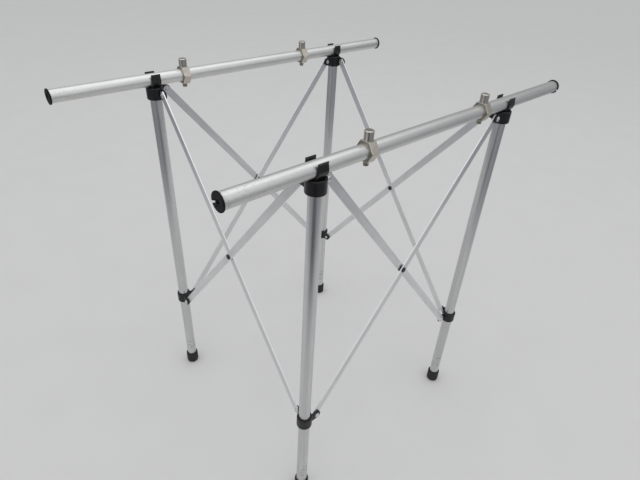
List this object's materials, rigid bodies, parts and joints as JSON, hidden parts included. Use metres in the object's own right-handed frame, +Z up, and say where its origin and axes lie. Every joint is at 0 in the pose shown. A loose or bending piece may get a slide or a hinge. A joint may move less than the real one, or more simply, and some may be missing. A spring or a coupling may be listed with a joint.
{
  "type": "sign stand",
  "caption": "Folding tube stand: round legs joined by crossed flat bars on sliding collars, with clip-on top rails carrying round posts on sliding hexagonal clamps.",
  "frame": {"origin": "on the floor, at the centre of the four feet", "axes": "+X along the top rails, +Z up, +Y from the front rail to the back rail"},
  "size_m": [0.6844, 0.4088, 0.646],
  "materials": {
    "leg_tube": "satin anodised",
    "rail": "satin anodised, lightly scuffed",
    "brace": "satin, bright edges",
    "cap_plastic": "moulded black, semi-gloss",
    "collar_plastic": "moulded black, matte",
    "plug": "moulded black, matte",
    "rubber": "dull black rubber",
    "rivet": "zinc plated",
    "clamp": "satin nickel plate",
    "clamp_post": "polished nickel plate",
    "screw": "turned, dull nickel plate"
  },
  "bodies": {
    "leg_a": {"leg_tube_a": "leg_tube", "foot_a": "rubber", "corner_cap_a": "cap_plastic", "cap_rivets_a": "rivet", "rail_clip_a": "cap_plastic"},
    "collar_a": {"slide_collar_a": "collar_plastic", "collar_rivets_a": "rivet"},
    "leg_b": {"leg_tube_b": "leg_tube", "foot_b": "rubber", "corner_cap_b": "cap_plastic", "cap_rivets_b": "rivet", "rail_clip_b": "cap_plastic"},
    "collar_b": {"slide_collar_b": "collar_plastic", "collar_rivets_b": "rivet"},
    "leg_c": {"leg_tube_c": "leg_tube", "foot_c": "rubber", "corner_cap_c": "cap_plastic", "cap_rivets_c": "rivet", "rail_clip_c": "cap_plastic"},
    "collar_c": {"slide_collar_c": "collar_plastic", "collar_rivets_c": "rivet"},
    "leg_d": {"leg_tube_d": "leg_tube", "foot_d": "rubber", "corner_cap_d": "cap_plastic", "cap_rivets_d": "rivet", "rail_clip_d": "cap_plastic"},
    "collar_d": {"slide_collar_d": "collar_plastic", "collar_rivets_d": "rivet"},
    "bar_ab": {"brace_ab": "brace", "cross_pivot_ab": "collar_plastic", "cross_spacer_ab": "collar_plastic"},
    "bar_ba": {"brace_ba": "brace"},
    "bar_bc": {"brace_bc": "brace", "cross_pivot_bc": "collar_plastic", "cross_spacer_bc": "collar_plastic"},
    "bar_cb": {"brace_cb": "brace"},
    "bar_cd": {"brace_cd": "brace", "cross_pivot_cd": "collar_plastic", "cross_spacer_cd": "collar_plastic"},
    "bar_dc": {"brace_dc": "brace"},
    "bar_da": {"brace_da": "brace", "cross_pivot_da": "collar_plastic", "cross_spacer_da": "collar_plastic"},
    "bar_ad": {"brace_ad": "brace"},
    "front_rail": {"front_rail": "rail", "front_rail_plugs": "plug"},
    "clamp_front_left": {"clamp_collar_front_left": "clamp", "clamp_post_front_left": "clamp_post"},
    "screw_front_left": {"clamp_screw_front_left": "screw"},
    "clamp_front_right": {"clamp_collar_front_right": "clamp", "clamp_post_front_right": "clamp_post"},
    "screw_front_right": {"clamp_screw_front_right": "screw"},
    "back_rail": {"back_rail": "rail", "back_rail_plugs": "plug"},
    "clamp_back_left": {"clamp_collar_back_left": "clamp", "clamp_post_back_left": "clamp_post"},
    "screw_back_left": {"clamp_screw_back_left": "screw"},
    "clamp_back_right": {"clamp_collar_back_right": "clamp", "clamp_post_back_right": "clamp_post"},
    "screw_back_right": {"clamp_screw_back_right": "screw"}
  },
  "joints": [
    {"name": "fold", "type": "hinge", "parent": "leg_a", "child": "bar_ab", "pos_m": [-0.169, -0.188, 0.602], "axis": [0, 1, 0], "range_deg": [0, 38]},
    {"name": "cross_ab_pivot", "type": "hinge", "parent": "bar_ab", "child": "bar_ba", "pos_m": [0, -0.19, 0.3945], "axis": [0, 1, 0], "range_deg": [-76.15, 0]},
    {"name": "cap_b_pivot", "type": "hinge", "parent": "bar_ba", "child": "leg_b", "pos_m": [0.169, -0.192, 0.602], "axis": [0, 1, 0], "range_deg": [0, 38.08]},
    {"name": "collar_b_pivot", "type": "hinge", "parent": "bar_ab", "child": "collar_b", "pos_m": [0.169, -0.188, 0.187], "axis": [0, 1, 0], "range_deg": [-38.08, 0]},
    {"name": "collar_a_pivot", "type": "hinge", "parent": "bar_ba", "child": "collar_a", "pos_m": [-0.169, -0.192, 0.187], "axis": [0, 1, 0], "range_deg": [0, 38.08]},
    {"name": "cap_a_pivot", "type": "hinge", "parent": "leg_a", "child": "bar_ad", "pos_m": [-0.192, -0.169, 0.602], "axis": [-1, 0, 0], "range_deg": [0, 38.08]},
    {"name": "cross_da_pivot", "type": "hinge", "parent": "bar_ad", "child": "bar_da", "pos_m": [-0.19, 0, 0.3945], "axis": [-1, 0, 0], "range_deg": [-76.15, 0]},
    {"name": "cap_d_pivot", "type": "hinge", "parent": "bar_da", "child": "leg_d", "pos_m": [-0.188, 0.169, 0.602], "axis": [-1, 0, 0], "range_deg": [0, 38.08]},
    {"name": "collar_d_pivot", "type": "hinge", "parent": "bar_ad", "child": "collar_d", "pos_m": [-0.192, 0.169, 0.187], "axis": [-1, 0, 0], "range_deg": [-38.08, 0]},
    {"name": "cap_b_side_pivot", "type": "hinge", "parent": "leg_b", "child": "bar_bc", "pos_m": [0.188, -0.169, 0.602], "axis": [-1, 0, 0], "range_deg": [0, 38.08]},
    {"name": "cross_bc_pivot", "type": "hinge", "parent": "bar_bc", "child": "bar_cb", "pos_m": [0.19, 0, 0.3945], "axis": [-1, 0, 0], "range_deg": [-76.15, 0]},
    {"name": "cap_c_pivot", "type": "hinge", "parent": "bar_cb", "child": "leg_c", "pos_m": [0.192, 0.169, 0.602], "axis": [-1, 0, 0], "range_deg": [0, 38.08]},
    {"name": "collar_c_pivot", "type": "hinge", "parent": "bar_bc", "child": "collar_c", "pos_m": [0.188, 0.169, 0.187], "axis": [-1, 0, 0], "range_deg": [-38.08, 0]},
    {"name": "cap_d_side_pivot", "type": "hinge", "parent": "leg_d", "child": "bar_dc", "pos_m": [-0.169, 0.192, 0.602], "axis": [0, 1, 0], "range_deg": [0, 38.08]},
    {"name": "cross_cd_pivot", "type": "hinge", "parent": "bar_dc", "child": "bar_cd", "pos_m": [0, 0.19, 0.3945], "axis": [0, 1, 0], "range_deg": [-76.15, 0]},
    {"name": "front_rail_lift", "type": "slide", "parent": "leg_a", "child": "front_rail", "axis": [0, 0, 1], "range_m": [0, 0.2333]},
    {"name": "back_rail_lift", "type": "slide", "parent": "leg_d", "child": "back_rail", "axis": [0, 0, 1], "range_m": [0, 0.2333]},
    {"name": "clamp_front_left_slide", "type": "slide", "parent": "front_rail", "child": "clamp_front_left", "axis": [1, 0, 0], "range_m": [-0.044, 0.1]},
    {"name": "screw_front_left_turn", "type": "hinge", "parent": "clamp_front_left", "child": "screw_front_left", "pos_m": [-0.112, -0.19, 0.604], "axis": [0, 0, -1], "continuous": true},
    {"name": "clamp_front_right_slide", "type": "slide", "parent": "front_rail", "child": "clamp_front_right", "axis": [1, 0, 0], "range_m": [-0.1, 0.012]},
    {"name": "screw_front_right_turn", "type": "hinge", "parent": "clamp_front_right", "child": "screw_front_right", "pos_m": [0.126, -0.19, 0.604], "axis": [0, 0, -1], "continuous": true},
    {"name": "clamp_back_left_slide", "type": "slide", "parent": "back_rail", "child": "clamp_back_left", "axis": [1, 0, 0], "range_m": [-0.018, 0.1]},
    {"name": "screw_back_left_turn", "type": "hinge", "parent": "clamp_back_left", "child": "screw_back_left", "pos_m": [-0.138, 0.19, 0.604], "axis": [0, 0, -1], "continuous": true},
    {"name": "clamp_back_right_slide", "type": "slide", "parent": "back_rail", "child": "clamp_back_right", "axis": [1, 0, 0], "range_m": [-0.1, 0.03]},
    {"name": "screw_back_right_turn", "type": "hinge", "parent": "clamp_back_right", "child": "screw_back_right", "pos_m": [0.107, 0.19, 0.604], "axis": [0, 0, -1], "continuous": true}
  ],
  "couplings": [
    {"joint": "cross_ab_pivot", "follows": "fold", "ratio": -2},
    {"joint": "cap_b_pivot", "follows": "fold", "ratio": 1},
    {"joint": "collar_b_pivot", "follows": "fold", "ratio": -1},
    {"joint": "collar_a_pivot", "follows": "fold", "ratio": 1},
    {"joint": "cap_a_pivot", "follows": "fold", "ratio": 1},
    {"joint": "cross_da_pivot", "follows": "fold", "ratio": -2},
    {"joint": "cap_d_pivot", "follows": "fold", "ratio": 1},
    {"joint": "collar_d_pivot", "follows": "fold", "ratio": -1},
    {"joint": "cap_b_side_pivot", "follows": "fold", "ratio": 1},
    {"joint": "cross_bc_pivot", "follows": "fold", "ratio": -2},
    {"joint": "cap_c_pivot", "follows": "fold", "ratio": 1},
    {"joint": "collar_c_pivot", "follows": "fold", "ratio": -1},
    {"joint": "cap_d_side_pivot", "follows": "fold", "ratio": 1},
    {"joint": "cross_cd_pivot", "follows": "fold", "ratio": -2},
    {"joint": "front_rail_lift", "follows": "fold", "m_per_rad": 0.35},
    {"joint": "back_rail_lift", "follows": "fold", "m_per_rad": 0.35}
  ]
}
